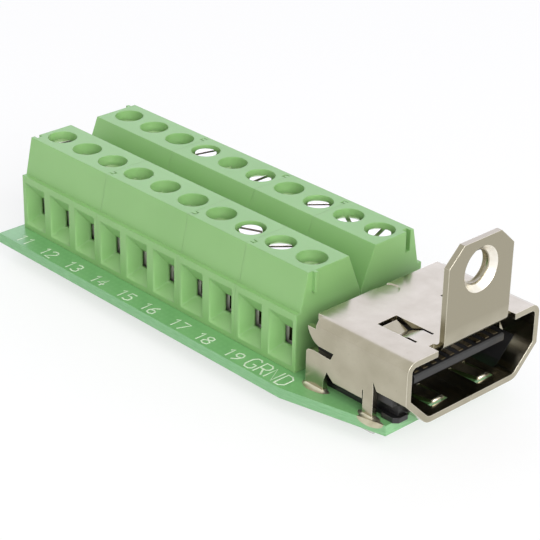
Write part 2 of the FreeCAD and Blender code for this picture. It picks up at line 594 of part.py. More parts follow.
def contact_row(label, count, blade_top):
    """Contacts side by side at the contact pitch, from the height of their blades' tops."""
    body = make_body(label, x=SHELL_START, z=BOARD_TOP,
                     y=f"-{count - 1} * contact_spacing / 2")
    blade_low = f"({blade_top} - contact_thick)"
    blade = make_sketch(body, f"{label}_blade", "XZ_Plane")
    rectangle(blade, f"{BODY_END} - blade_root", blade_low, f"{TONGUE_END} - contact_inset",
              blade_top)
    blade_pad = pad(body, blade, "contact_width", both_ways=True)
    tail = make_sketch(body, f"{label}_tail", "XZ_Plane")
    outline(tail, [
        (BODY_END, blade_top), (drop_outer, blade_top), (drop_outer, "contact_thick"),
        ("-tail_foot", "contact_thick"), ("-tail_foot", "0"), (drop_inner, "0"),
        (drop_inner, blade_low), (BODY_END, blade_low)])
    tail_pad = pad(body, tail, "tail_width", both_ways=True)
    pattern = body.newObject("PartDesign::LinearPattern", f"{label}_row")
    pattern.Originals = [blade_pad, tail_pad]
    pattern.Direction = (origin_feature(body, "Y_Axis"), [""])
    pattern.Occurrences = count
    bind(pattern, Length=f"contact_spacing * {count - 1}")
    body.Tip = pattern
    return body


TONGUE_TOP = "(tongue_bottom + tongue_thick)"
upper = contact_row("contacts_upper", UPPER_CONTACTS, f"({TONGUE_TOP} + blade_rise)")
lower = contact_row("contacts_lower", UPPER_CONTACTS - 1,
                    "(tongue_bottom - blade_rise + contact_thick)")

# Insulator: a black moulding with a body, side rails on the board and the contact tongue
blank = make_body("insulator_blank", x=SHELL_START, z=BOARD_TOP)
body_face = f"({inner_half} - body_gap)"
foot_face = "(shell_half - foot_inset)"
core = make_sketch(blank, "insulator_core", "YZ_Plane", "body_start")
core_top = f"({SHELL_TOP} - sheet - body_gap)"
core_corner = "(bend_radius - sheet)"
outline(core, [
    (f"-{foot_face}", "0"), (foot_face, "0"), (foot_face, "foot_step"), (body_face, "foot_step"),
    (body_face, f"{core_top} - {core_corner}"), (f"{body_face} - {core_corner}", core_top),
    (f"{core_corner} - {body_face}", core_top), (f"-{body_face}", f"{core_top} - {core_corner}"),
    (f"-{body_face}", "foot_step"), (f"-{foot_face}", "foot_step")])
pad(blank, core, f"{BODY_END} - body_start")
base_start = f"({leg_right} + relief_width + body_gap)"
rail_parts = make_sketch(blank, "rails", "XY_Plane")
for side in ("-", ""):
    rectangle(rail_parts, "body_start", f"{side}({foot_face} - joint_lap)", base_start,
              f"{side}(shell_half - rail_inset)")
pad(blank, rail_parts, "rail_height")
# Corner fillers in front of the body, whose tops slope as the flare does so that a plug
# clears them
fillers = make_sketch(blank, "corner_fillers", "YZ_Plane", f"{BODY_END} - joint_lap")
filler_inner = "(shell_half - filler_inset)"
slope_foot = f"({FLOOR_HALF} - {bevel})"
slope = f"((flare_height - sheet + {bevel}) / ({inner_half} - {slope_foot}))"
for side in ("-", ""):
    low_top = f"shell_lift + sheet + ({filler_inner} - {slope_foot}) * {slope} - filler_gap"
    high_top = f"shell_lift + sheet + ({body_face} - {slope_foot}) * {slope} - filler_gap"
    outline(fillers, [
        (f"{side}{filler_inner}", "0"), (f"{side}{foot_face}", "0"),
        (f"{side}{foot_face}", "foot_step"), (f"{side}{body_face}", "foot_step"),
        (f"{side}{body_face}", high_top), (f"{side}{filler_inner}", low_top)])
pad(blank, fillers, f"{FLARE_START} - body_gap - {BODY_END} + joint_lap")
# Base under the flare, with its front corners cut off
base_front = "(shell_length - base_reach)"
base_half = "(shell_half - base_inset)"
base_inner = "(shell_half - base_inner_inset)"
base = make_sketch(blank, "base_plate", "XY_Plane")
for side in ("-", ""):
    outline(base, [
        (f"{base_start} - joint_lap", f"{side}{base_inner}"), (base_front, f"{side}{base_inner}"),
        (base_front, f"{side}({base_half} - base_corner)"),
        (f"{base_front} - base_corner", f"{side}{base_half}"),
        (f"{base_start} - joint_lap", f"{side}{base_half}")])
pad(blank, base, "base_thick")
tongue = make_sketch(blank, "tongue_section", "XZ_Plane")
outline(tongue, [
    (f"{BODY_END} - joint_lap", "tongue_bottom"), (f"{TONGUE_END} - tongue_bevel", "tongue_bottom"),
    (TONGUE_END, "tongue_bottom + tongue_bevel"), (TONGUE_END, f"{TONGUE_TOP} - tongue_bevel"),
    (f"{TONGUE_END} - tongue_bevel", TONGUE_TOP), (f"{BODY_END} - joint_lap", TONGUE_TOP)])
pad(blank, tongue, "2 * tongue_half", both_ways=True)
contacts = doc.addObject("Part::MultiFuse", "contact_sets")
contacts.Shapes = [upper, lower]
insulator = doc.addObject("Part::Cut", "insulator")
insulator.Label = "insulator"
insulator.Base = blank
insulator.Tool = contacts

# Solder: cones round the terminal pins and small mounds round the shell's legs
cones = make_body("terminal_solder_joints", x=FIRST_POLE, z="tail_reach")
rounds = []
for side, flip in (("front", ""), ("rear", "-")):
    half = make_sketch(cones, f"cone_{side}", "XZ_Plane", f"{flip}{ROW_Y}")
    outline(half, [("0", "0"), ("0", "-cone_height"), ("cone_tip_radius", "-cone_height"),
                   ("cone_base_radius * 0.8", "-cone_height / 3"), ("cone_base_radius", "0")])
    cone = cones.newObject("PartDesign::Revolution", f"cone_{side}_turned")
    cone.Profile = half
    cone.ReferenceAxis = (half, ["V_Axis"])
    cone.Angle = 360
    rounds.append(cone)
pin_cuts = make_sketch(cones, "pin_cuts", "XY_Plane")
for side in ("-", ""):
    rectangle(pin_cuts, "-pin_width / 2", f"{side}{ROW_Y} - pin_depth / 2", "pin_width / 2",
              f"{side}{ROW_Y} + pin_depth / 2")
repeat(cones, rounds + [pocket(cones, pin_cuts, "cone_height")], POLES, "pole_spacing")
mounds = make_body("shell_solder_joints", x=SHELL_START, z="tail_reach")
mound = make_sketch(mounds, "leg_mounds", "XY_Plane")
for side in ("-", ""):
    for start, width in (("0", "rear_leg_width"), (FRONT_LEG, "front_leg_width")):
        rectangle(mound, f"{start} - leg_solder_margin",
                  f"{side}({inner_half} - leg_solder_margin)",
                  f"{start} + {width} + leg_solder_margin",
                  f"{side}(shell_half + leg_slot_gap)")
        rectangle(mound, start, f"{side}{inner_half}", f"{start} + {width}", f"{side}(shell_half)")
pad(mounds, mound, "leg_solder_height", reverse=True)

doc.recompute()

# Every feature has to be sound before anything is written.
faults = [item.Name for item in doc.Objects
          if any(word in item.State for word in ("Invalid", "Error"))]
if faults:
    raise RuntimeError("failed features: " + ", ".join(faults))
pieces = [item for item in doc.Objects if item.TypeId == "PartDesign::Body" and item != blank]
pieces.append(insulator)
for piece in pieces:
    if piece.Shape.isNull() or not piece.Shape.isValid() or not piece.Shape.Solids:
        raise RuntimeError(f"{piece.Label} is not a sound solid")

os.makedirs("parts", exist_ok=True)
for piece in pieces:
    piece.Shape.exportStep(f"parts/{piece.Label}.step")
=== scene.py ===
import bmesh
import bpy
import math
import numpy as np
from mathutils import Matrix, Vector


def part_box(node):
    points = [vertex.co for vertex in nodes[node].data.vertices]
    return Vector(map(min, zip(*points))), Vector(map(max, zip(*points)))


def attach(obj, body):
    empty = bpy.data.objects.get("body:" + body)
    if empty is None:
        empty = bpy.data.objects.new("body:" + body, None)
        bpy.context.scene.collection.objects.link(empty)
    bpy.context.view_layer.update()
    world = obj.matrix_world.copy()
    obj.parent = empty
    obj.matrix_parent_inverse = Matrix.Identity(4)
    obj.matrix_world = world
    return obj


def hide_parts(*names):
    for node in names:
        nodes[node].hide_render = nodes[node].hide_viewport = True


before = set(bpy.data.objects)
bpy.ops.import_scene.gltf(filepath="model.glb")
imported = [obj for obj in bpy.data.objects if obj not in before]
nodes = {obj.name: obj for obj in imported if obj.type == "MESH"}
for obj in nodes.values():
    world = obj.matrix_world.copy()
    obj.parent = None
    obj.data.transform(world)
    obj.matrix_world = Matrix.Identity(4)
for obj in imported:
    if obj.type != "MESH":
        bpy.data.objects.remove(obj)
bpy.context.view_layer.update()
MM = 0.001

# The circuit board: glass-fibre laminate, routed to a tapered nose and coated on both
# faces with green solder mask. Everything else is soldered to it.


def linear(code):
    """An sRGB hex colour as linear red, green, blue and alpha."""
    parts = [int(code[index:index + 2], 16) / 255 for index in (1, 3, 5)]
    return [c / 12.92 if c <= 0.04045 else ((c + 0.055) / 1.055) ** 2.4 for c in parts] + [1.0]


def add(tree, kind, feeds=None, **settings):
    """Adds a node with its settings; feeds gives each input a value or a socket."""
    node = tree.nodes.new(kind)
    for name, value in settings.items():
        setattr(node, name, value)
    for name, value in (feeds or {}).items():
        if isinstance(value, bpy.types.NodeSocket):
            tree.links.new(value, node.inputs[name])
        else:
            node.inputs[name].default_value = value
    return node


def new_material(name):
    """An empty material, its node tree and a socket with Object coordinates."""
    material = bpy.data.materials.new(name)
    material.use_nodes = True
    tree = material.node_tree
    tree.nodes.clear()
    place = add(tree, "ShaderNodeTexCoord").outputs["Object"]
    return material, tree, place


def close_material(tree, shader):
    """Joins the shader to the material's output."""
    add(tree, "ShaderNodeOutputMaterial", {"Surface": shader.outputs[0]})


def cloudy(tree, place, size_mm, detail=3.0, rough=0.5):
    """Noise whose patches are about size_mm across."""
    return add(tree, "ShaderNodeTexNoise", {
        "Vector": place, "Scale": 1 / (size_mm * MM), "Detail": detail, "Roughness": rough})


def blend_colours(tree, factor, first, second):
    """A mix of two colours, each an sRGB hex code or the socket of an earlier mix."""
    mix = add(tree, "ShaderNodeMix", {"Factor": factor}, data_type="RGBA")
    for socket, colour in ((mix.inputs[6], first), (mix.inputs[7], second)):
        if isinstance(colour, bpy.types.NodeSocket):
            tree.links.new(colour, socket)
        else:
            socket.default_value = linear(colour)
    return mix.outputs[2]


def spread(tree, value, low, high, to_low=0.0, to_high=1.0):
    """Maps a value from one range to another, and holds it at the ends."""
    return add(tree, "ShaderNodeMapRange", {
        "Value": value, "From Min": low, "From Max": high, "To Min": to_low,
        "To Max": to_high}).outputs[0]


def relief(tree, height, depth_mm, strength=1.0, edge_mm=0.06):
    """A bump over edges that read as rounded to edge_mm, too fine to cut into the mesh."""
    edge = add(tree, "ShaderNodeBevel", {"Radius": edge_mm * MM}, samples=4)
    return add(tree, "ShaderNodeBump", {
        "Height": height, "Distance": depth_mm * MM, "Strength": strength,
        "Normal": edge.outputs[0]}).outputs[0]


def solder_mask():
    """Cured green resin over glass cloth: glossy, a little uneven, the weave just felt."""
    material, tree, place = new_material("green_solder_mask")
    thread_mm = 0.55
    phase_per_unit = 20
    weave = []
    for axis in ("X", "Y"):
        wave = add(tree, "ShaderNodeTexWave", {
            "Vector": place, "Scale": 2 * math.pi / (phase_per_unit * thread_mm * MM),
            "Distortion": 0.4},
            wave_type="BANDS", bands_direction=axis)
        weave.append(wave.outputs["Fac"])
    cloth = add(tree, "ShaderNodeMath", {0: weave[0], 1: weave[1]}, operation="MULTIPLY")
    patches = cloudy(tree, place, 6.0)
    tone = blend_colours(tree, spread(tree, patches.outputs[0], 0.3, 0.7), "#6DA769", "#77B070")
    tone = blend_colours(tree, spread(tree, cloth.outputs[0], 0.0, 1.0, 0.0, 0.3), tone, "#81B77C")
    shader = add(tree, "ShaderNodeBsdfPrincipled", {
        "Base Color": tone, "Roughness": 0.36, "IOR": 1.5, "Coat Weight": 0.35,
        "Coat Roughness": 0.2, "Normal": relief(tree, cloth.outputs[0], 0.01, 0.25)})
    close_material(tree, shader)
    return material


def cut_laminate():
    """Routed edge of glass cloth in epoxy: paler, dull and slightly streaked along the plies."""
    material, tree, place = new_material("cut_glass_laminate")
    flat = add(tree, "ShaderNodeMapping", {"Vector": place, "Scale": (1.0, 1.0, 12.0)})
    streaks = cloudy(tree, flat.outputs[0], 0.8)
    tone = blend_colours(tree, spread(tree, streaks.outputs[0], 0.3, 0.7), "#76AA77", "#8ABA8A")
    shader = add(tree, "ShaderNodeBsdfPrincipled", {
        "Base Color": tone, "Roughness": 0.6, "IOR": 1.5, "Subsurface Weight": 0.2,
        "Subsurface Radius": (0.4 * MM, 0.6 * MM, 0.4 * MM), "Subsurface Scale": 1.0,
        "Normal": relief(tree, streaks.outputs[0], 0.02, 0.4)})
    close_material(tree, shader)
    return material


def eased(name, materials, pick=None, crisp=32, soft=None):
    """A copy of a solid with its loose triangles merged, smooth but for the sharp edges.

    Pick gives the number of the material for each face from its normal, crisp is the
    angle in degrees from which an edge is sharp, and soft tells edges that never are."""
    shape = bmesh.new()
    shape.from_mesh(nodes[name].data)
    bmesh.ops.remove_doubles(shape, verts=shape.verts, dist=1e-7)
    for face in shape.faces:
        face.smooth = True
        if pick:
            face.material_index = pick(face)
    for edge in shape.edges:
        edge.smooth = len(edge.link_faces) == 2 and edge.calc_face_angle(0.0) < math.radians(crisp)
        if soft and soft(edge):
            edge.smooth = True
    mesh = bpy.data.meshes.new(f"{name}_eased")
    shape.to_mesh(mesh)
    shape.free()
    for material in materials:
        mesh.materials.append(material)
    piece = bpy.data.objects.new(f"{name}_eased", mesh)
    bpy.context.scene.collection.objects.link(piece)
    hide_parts(name)
    return piece


def mesh_piece(name, points, faces, material, smooth=True):
    """A new object from arrays of points in metres and of face corners."""
    mesh = bpy.data.meshes.new(name)
    corners = [list(map(int, face)) for face in faces]
    mesh.from_pydata(np.asarray(points).reshape(-1, 3).tolist(), [], corners)
    mesh.materials.append(material)
    mesh.polygons.foreach_set("use_smooth", [smooth] * len(mesh.polygons))
    mesh.update()
    piece = bpy.data.objects.new(name, mesh)
    bpy.context.scene.collection.objects.link(piece)
    return piece


board_low, board_high = (np.array(corner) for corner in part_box("circuit_board"))
board_top = board_high[2]
mask_green = solder_mask()
laminate = cut_laminate()
board = eased("circuit_board", [mask_green, laminate],
              pick=lambda face: 0 if abs(face.normal.z) > 0.5 else 1)
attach(board, "root")

# White print on the board: plain pole numbers beside the wire entries and the ground
# pole's name, drawn with a round stroke of epoxy ink.
STROKES = {
    "1": [[(0.15, 0.80), (0.40, 1.00), (0.40, 0.00)]],
    "2": [[(0.02, 0.80), (0.15, 0.97), (0.45, 1.00), (0.62, 0.85), (0.60, 0.62), (0.02, 0.00),
           (0.64, 0.00)]],
    "3": [[(0.03, 0.92), (0.30, 1.00), (0.58, 0.90), (0.58, 0.65), (0.32, 0.53)],
          [(0.32, 0.53), (0.62, 0.42), (0.62, 0.12), (0.35, 0.00), (0.02, 0.10)]],
    "4": [[(0.45, 0.00), (0.45, 1.00), (0.00, 0.32), (0.66, 0.32)]],
    "5": [[(0.60, 1.00), (0.08, 1.00), (0.05, 0.58), (0.40, 0.62), (0.63, 0.45), (0.60, 0.12),
           (0.32, 0.00), (0.02, 0.08)]],
    "6": [[(0.52, 1.00), (0.18, 0.72), (0.02, 0.35), (0.10, 0.06), (0.35, 0.00), (0.60, 0.10),
           (0.62, 0.38), (0.40, 0.54), (0.08, 0.44)]],
    "7": [[(0.00, 1.00), (0.66, 1.00), (0.22, 0.00)]],
    "8": [[(0.33, 0.54), (0.08, 0.68), (0.08, 0.90), (0.33, 1.00), (0.58, 0.90), (0.58, 0.68),
           (0.33, 0.54), (0.02, 0.36), (0.04, 0.10), (0.33, 0.00), (0.62, 0.10), (0.64, 0.36),
           (0.33, 0.54)]],
    "9": [[(0.14, 0.00), (0.48, 0.28), (0.64, 0.65), (0.56, 0.94), (0.31, 1.00), (0.06, 0.90),
           (0.04, 0.62), (0.26, 0.46), (0.58, 0.56)]],
    "0": [[(0.33, 1.00), (0.07, 0.85), (0.02, 0.50), (0.07, 0.15), (0.33, 0.00), (0.59, 0.15),
           (0.64, 0.50), (0.59, 0.85), (0.33, 1.00)]],
    "G": [[(0.62, 0.85), (0.45, 1.00), (0.18, 0.98), (0.02, 0.75), (0.02, 0.25), (0.18, 0.02),
           (0.48, 0.00), (0.64, 0.15), (0.64, 0.45), (0.38, 0.45)]],
    "R": [[(0.04, 0.00), (0.04, 1.00), (0.48, 1.00), (0.64, 0.86), (0.64, 0.64), (0.48, 0.50),
           (0.04, 0.50)], [(0.30, 0.50), (0.64, 0.00)]],
    "N": [[(0.04, 0.00), (0.04, 1.00), (0.62, 0.00), (0.62, 1.00)]],
    "D": [[(0.04, 0.00), (0.04, 1.00), (0.38, 1.00), (0.62, 0.80), (0.62, 0.20), (0.38, 0.00),
           (0.04, 0.00)]],
}


def ink_white():
    """Epoxy marking ink: chalky white with a trace of the mask showing through."""
    material, tree, place = new_material("white_marking_ink")
    speck = cloudy(tree, place, 0.12)
    tone = blend_colours(tree, spread(tree, speck.outputs[0], 0.35, 0.65), "#D3E8C8", "#E9F6E2")
    shader = add(tree, "ShaderNodeBsdfPrincipled", {
        "Base Color": tone, "Roughness": 0.65, "Normal": relief(tree, speck.outputs[0], 0.01, 0.3)})
    close_material(tree, shader)
    return material


def printed(name, words, stroke_mm, material):
    """Words as flattened round strokes; each is text, left, foot, height, step and width.

    A stroke is a poly curve with a round bevel, turned into a mesh and pressed flat. The
    width is a share of the letters' own, and the rest is in millimetres."""
    curve = bpy.data.curves.new(name, "CURVE")
    curve.dimensions = "3D"
    curve.bevel_depth = stroke_mm / 2 * MM
    curve.bevel_resolution = 2
    curve.use_fill_caps = True
    for text, left, foot, height, step, width in words:
        for place, letter in enumerate(text):
            for stroke in STROKES[letter]:
                line = curve.splines.new("POLY")
                line.points.add(len(stroke) - 1)
                for point, (across, up) in zip(line.points, stroke):
                    point.co = ((left + place * step + across * height * width) * MM,
                                (foot + up * height) * MM, 0, 1)
    drawn = bpy.data.objects.new(name, curve)
    bpy.context.scene.collection.objects.link(drawn)
    mesh = bpy.data.meshes.new_from_object(drawn)
    bpy.data.objects.remove(drawn)
    flatness, lift_mm = 0.12, 0.002
    lifted = Matrix.Translation((0, 0, board_top + lift_mm * MM))
    mesh.transform(lifted @ Matrix.Diagonal((1, 1, flatness, 1)))
    mesh.materials.clear()
    mesh.materials.append(material)
    mesh.shade_smooth()
    piece = bpy.data.objects.new(name, mesh)
    bpy.context.scene.collection.objects.link(piece)
    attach(piece, "root")
    return piece


ink = ink_white()
NUMBER_HEIGHT, NUMBER_STEP, INK_STROKE = 1.18, 0.98, 0.17
FRONT_FOOT, REAR_FOOT = -9.20, 7.75
POLE_PITCH, POLES = 3.5, 10
number_lefts = (-22.00, -18.55, -15.05, -11.52, -7.98, -4.85, -1.15, 1.95, 5.50)
front_words = [(str(POLES + 1 + place), left, FRONT_FOOT, NUMBER_HEIGHT, NUMBER_STEP, 1.0)
               for place, left in enumerate(number_lefts)]
GROUND_LEFT, GROUND_FOOT, GROUND_HEIGHT, GROUND_STEP, GROUND_WIDTH = 7.95, -9.22, 1.62, 1.2, 0.9
front_words.append(("GRND", GROUND_LEFT, GROUND_FOOT, GROUND_HEIGHT, GROUND_STEP, GROUND_WIDTH))
printed("front_pole_print", front_words, INK_STROKE, ink)
REAR_LEFT, TWO_DIGIT_SHIFT = -21.9, 0.4
rear_words = []
for place in range(POLES):
    left = REAR_LEFT + POLE_PITCH * place
    if place + 1 == POLES:
        left -= TWO_DIGIT_SHIFT
    rear_words.append((str(1 + place), left, REAR_FOOT, NUMBER_HEIGHT, NUMBER_STEP, 1.0))
printed("rear_pole_print", rear_words, INK_STROKE, ink)

# Terminal housings: injection-moulded polyamide in a light green, with softly rounded
# edges from the mould. Modules of two and three poles hook together in each row.


def green_polyamide():
    """Moulded polyamide: satin, faintly translucent, with a fine spark-eroded grain."""
    material, tree, place = new_material("green_polyamide")
    grain = cloudy(tree, place, 0.12, detail=2.0)
    flow = cloudy(tree, place, 9.0)
    tone = blend_colours(tree, spread(tree, flow.outputs[0], 0.3, 0.7), "#85B26F", "#8CB976")
    shader = add(tree, "ShaderNodeBsdfPrincipled", {
        "Base Color": tone, "Roughness": 0.42, "IOR": 1.53, "Subsurface Weight": 0.12,
        "Subsurface Radius": (0.5 * MM, 0.9 * MM, 0.4 * MM), "Subsurface Scale": 1.0,
        "Normal": relief(tree, grain.outputs[0], 0.006, 0.5, edge_mm=0.12)})
    close_material(tree, shader)
    return material


polyamide = green_polyamide()
FUNNEL_DEPTH, SAME_PLACE = 1.1, 1e-6
wire_side = abs(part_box("terminal_housing_front_1")[0][1])


def funnel_corner(edge):
    """True for the slanting edges of a wire funnel, which are rounded in the moulding."""
    depths = sorted(abs(vertex.co.y) for vertex in edge.verts)
    inner_end = wire_side - FUNNEL_DEPTH * MM
    return abs(depths[1] - wire_side) < SAME_PLACE and abs(depths[0] - inner_end) < SAME_PLACE


housing_names = [name for name in sorted(nodes) if name.startswith("terminal_housing")]
for name in housing_names:
    housing = eased(name, [polyamide], soft=funnel_corner)
    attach(housing, "root")

# Clamp frames and pressure plates: strip brass, folded and plated with bright nickel.
# They stay as the solids have them, with their pressed edges eased.


def plated_nickel(name, light, dark, roughness, patch_mm, pits=0.0, painted_shade_band=None, edges=None,
                  metallic=1.0):
    """Bright nickel over sheet: a metal whose tone and gloss wander a little, with fine pits.

    A shade band gives two heights in millimetres, between which the tone turns to a third,
    darker one: painted shade. Edges gives the paler tone painted on the sheet's rounded edges:
    a painted highlight. A torn, sheared face scatters like a matt one, so it gets a lower
    metallic share."""
    material, tree, place = new_material(name)
    patches = cloudy(tree, place, patch_mm, detail=4.0)
    tone = blend_colours(tree, spread(tree, patches.outputs[0], 0.3, 0.7), dark, light)
    specks = add(tree, "ShaderNodeTexVoronoi", {"Vector": place, "Scale": 1 / (0.55 * MM)})
    pit = spread(tree, specks.outputs["Distance"], 0.02, 0.10, pits, 0.0)
    tone = blend_colours(tree, pit, tone, "#5E5646")
    # Painted shade: between the two heights the tone turns to the darker third one.
    if painted_shade_band:
        height = add(tree, "ShaderNodeSeparateXYZ", {"Vector": place}).outputs["Z"]
        share = spread(tree, height, painted_shade_band[0] * MM, painted_shade_band[1] * MM)
        tone = blend_colours(tree, share, tone, painted_shade_band[2])
    # Painted highlight: the tone turns paler where the rounded normal leaves the face's own.
    if edges:
        rounded = add(tree, "ShaderNodeBevel", {"Radius": 0.1 * MM}, samples=6).outputs[0]
        flat = add(tree, "ShaderNodeNewGeometry").outputs["Normal"]
        turned = add(tree, "ShaderNodeVectorMath", {0: rounded, 1: flat},
                     operation="DOT_PRODUCT").outputs["Value"]
        tone = blend_colours(tree, spread(tree, turned, 0.75, 0.97, 1.0, 0.0), tone, edges)
    gloss = spread(tree, patches.outputs[0], 0.25, 0.75, roughness - 0.05, roughness + 0.06)
    ripple = cloudy(tree, place, 1.6, detail=2.0)
    shader = add(tree, "ShaderNodeBsdfPrincipled", {
        "Base Color": tone, "Metallic": metallic, "Roughness": gloss,
        "Normal": relief(tree, ripple.outputs[0], 0.012, 0.35)})
    close_material(tree, shader)
    return material


clamp_nickel = plated_nickel("nickel_on_brass", "#D8D2C0", "#C4BDA8", 0.2, 0.9)
for name in sorted(nodes):
    if name.startswith("clamp_frames"):
        clamp = eased(name, [clamp_nickel])
        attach(clamp, "root")
    if name.startswith("pressure_plate"):
        plate = eased(name, [clamp_nickel])
        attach(plate, name.replace("pressure_plate", "plate"))

# The frames' sheared front edges, behind the wire entries, are rounded and matt, and their pale,
# near-white tone is a painted highlight.


def half_round(start, end, out, width, rise):
    """Points and faces of a rod of half an ellipse in section, from one point to another.

    The section stands out along one direction by the rise and is as wide as the width."""
    start, end, out = (np.array(values, dtype=float) for values in (start, end, out))
    along = (end - start) / np.linalg.norm(end - start)
    side = np.cross(along, out)
    angles = np.radians(np.linspace(-90, 90, 11))
    section = width / 2 * np.sin(angles)[:, None] * side + rise * np.cos(angles)[:, None] * out
    points = np.concatenate([start + section, end + section])
    count = len(angles)
    faces = [[place, place + 1, count + place + 1, count + place] for place in range(count - 1)]
    faces += [list(range(count))[::-1], list(range(count, 2 * count))]
    return points, faces


def joined(parts):
    """One set of points and faces from several."""
    points, faces = [], []
    for part_points, part_faces in parts:
        start = sum(len(block) for block in points)
        points.append(np.asarray(part_points))
        faces += [[start + corner for corner in face] for face in part_faces]
    return np.concatenate(points), faces


# A near-white copy of the nickel for the sheared edges: painted highlight.
sheared_nickel_and_highlight = plated_nickel("sheared_nickel_edge", "#F6F3EB", "#E6E1D4", 0.45, 0.5,
                               metallic=0.1)
FRAME_HALF, FRAME_WALL, FRAME_FLOOR, FRAME_ROOF = 1.25, 0.38, 0.4, 1.0
EDGE_RISE, EDGE_START = 0.12, 0.1


def middle_x(name):
    """The X in millimetres of the middle of a node's box."""
    box_low, box_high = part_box(name)
    return (box_low[0] / MM + box_high[0] / MM) / 2


for row, facing in (("front", -1), ("rear", 1)):
    low, high = (np.array(corner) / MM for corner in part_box(f"clamp_frames_{row}"))
    edge_y = low[1] if facing < 0 else high[1]
    rods = []
    for pole in range(1, POLES + 1):
        centre_x = middle_x(f"clamp_screw_{row}_{pole}")
        reach = FRAME_HALF - FRAME_WALL / 2
        for side in (-reach, reach):
            rods.append(half_round((centre_x + side, edge_y, low[2] + EDGE_START),
                                   (centre_x + side, edge_y, high[2] - FRAME_ROOF), (0, facing, 0),
                                   FRAME_WALL, EDGE_RISE))
        rods.append(half_round((centre_x - FRAME_HALF, edge_y, low[2] + FRAME_FLOOR / 2),
                               (centre_x + FRAME_HALF, edge_y, low[2] + FRAME_FLOOR / 2), (0, facing, 0),
                               FRAME_FLOOR, EDGE_RISE))
    edge_points, edge_faces = joined(rods)
    edges = mesh_piece(f"clamp_frame_edges_{row}", edge_points * MM, edge_faces, sheared_nickel_and_highlight)
    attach(edges, "root")

# Clamp screws: turned steel with a rolled thread, slotted and nickel plated. The head is
# the solid's own; the shank gets its thread here.
screw_nickel = plated_nickel("nickel_on_steel", "#E9E6DF", "#D8D4CB", 0.16, 0.7)
THREAD_PITCH, THREAD_DEPTH = 0.4, 0.16
SHANK_RADIUS, SHANK_LENGTH, TIP_CHAMFER = 0.85, 3.55, 0.2
HEAD_LAP = 0.01


def tube_faces(rings, turns, inward=False):
    """Faces between rings of points that each have the same number of turns round."""
    first = (np.arange(rings - 1)[:, None] * turns + np.arange(turns)[None]).ravel()
    following = (np.arange(rings - 1)[:, None] * turns + (np.arange(turns)[None] + 1) % turns).ravel()
    corners = [first, following, following + turns, first + turns]
    if inward:
        corners = [first, first + turns, following + turns, following]
    return np.stack(corners, axis=-1).tolist()


def threaded_shank(x, y, foot):
    """Points and faces of a shank: its radius falls by a triangle wave of height and turn.

    r = R - depth * |2 frac(z / pitch - angle / 2 pi) - 1|, with the first rings drawn in."""
    turns, rings = 28, 72
    angle = np.linspace(0, 2 * math.pi, turns, endpoint=False)
    height = np.linspace(0, SHANK_LENGTH, rings)
    around, along = np.meshgrid(angle, height)
    phase = along / THREAD_PITCH - around / (2 * math.pi)
    radius = SHANK_RADIUS - THREAD_DEPTH * np.abs(2 * (phase - np.floor(phase)) - 1)
    lead = np.minimum(along, TIP_CHAMFER) - TIP_CHAMFER
    radius = np.minimum(radius, SHANK_RADIUS + lead)
    points = np.stack([x + radius * np.cos(around), y + radius * np.sin(around),
                       foot + along], axis=-1).reshape(-1, 3)
    faces = tube_faces(rings, turns)
    faces.append(list(range(turns))[::-1])
    faces.append(list(range((rings - 1) * turns, rings * turns)))
    return points, faces


for name in sorted(nodes):
    if not name.startswith("clamp_screw"):
        continue
    low, high = (np.array(corner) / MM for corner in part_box(name))
    centre = (low + high) / 2
    head = eased(name, [screw_nickel])
    cut = bmesh.new()
    cut.from_mesh(head.data)
    bmesh.ops.bisect_plane(cut, geom=cut.verts[:] + cut.edges[:] + cut.faces[:], clear_inner=True,
                           plane_co=(0, 0, (low[2] + SHANK_LENGTH - HEAD_LAP) * MM), plane_no=(0, 0, 1))
    bmesh.ops.holes_fill(cut, edges=[edge for edge in cut.edges if edge.is_boundary])
    cut.to_mesh(head.data)
    cut.free()
    body_name = name.replace("clamp_screw", "screw")
    shank_points, shank_faces = threaded_shank(centre[0], centre[1], low[2])
    shank = mesh_piece(f"{name}_thread", shank_points * MM, shank_faces, screw_nickel)
    for piece in (head, shank):
        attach(piece, body_name)

# Solder pins: tinned brass strips from the clamp frames down through the board.


def tinned(name):
    """Hot-dipped tin or solder: bright, white and slightly wavy."""
    material, tree, place = new_material(name)
    waves = cloudy(tree, place, 0.35)
    tone = blend_colours(tree, waves.outputs[0], "#BFC0BC", "#DADAD6")
    shader = add(tree, "ShaderNodeBsdfPrincipled", {
        "Base Color": tone, "Metallic": 1.0, "Roughness": 0.24,
        "Normal": relief(tree, waves.outputs[0], 0.02, 0.6)})
    close_material(tree, shader)
    return material


tin = tinned("hot_dipped_tin")
for name in ("solder_pins_front", "solder_pins_rear"):
    pins = eased(name, [tin])
    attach(pins, "root")

# Receptacle shell: one folded steel sheet, nickel plated, with soldered legs, springs cut
# from its roof and floor, and the screw ear bent up at the mouth.
# The shell's nickel gets painted shade, darker above the roof on the ear, and a painted highlight, paler
# on its rounded edges.
shell_nickel = plated_nickel("nickel_on_folded_steel", "#B8B29F", "#A9A38F", 0.2, 2.4, pits=0.3,
                             painted_shade_band=(9.0, 9.8, "#A29C88"), edges="#EFE9D8")
# A near-white copy of the shell's nickel for the chamfer at the ear's hole: painted highlight on a real
# chamfer.
chamfer_nickel_and_highlight = plated_nickel("nickel_on_cut_chamfer", "#F8F4EA", "#EDE7D9", 0.3, 0.6)
EAR_HOLE_Z, EAR_HOLE_RADIUS = 13.85, 1.42
ENTRY_REACH, ENTRY_SLANT = 0.5, (0.3, 0.95)


def hole_entry(face):
    """The second material for the chamfer at the ear's hole, the first for the rest."""
    middle = face.calc_center_median() / MM
    near_hole = math.hypot(middle.y, middle.z - EAR_HOLE_Z) < EAR_HOLE_RADIUS + ENTRY_REACH
    slants = ENTRY_SLANT[0] < face.normal.x < ENTRY_SLANT[1]
    return 1 if near_hole and slants else 0


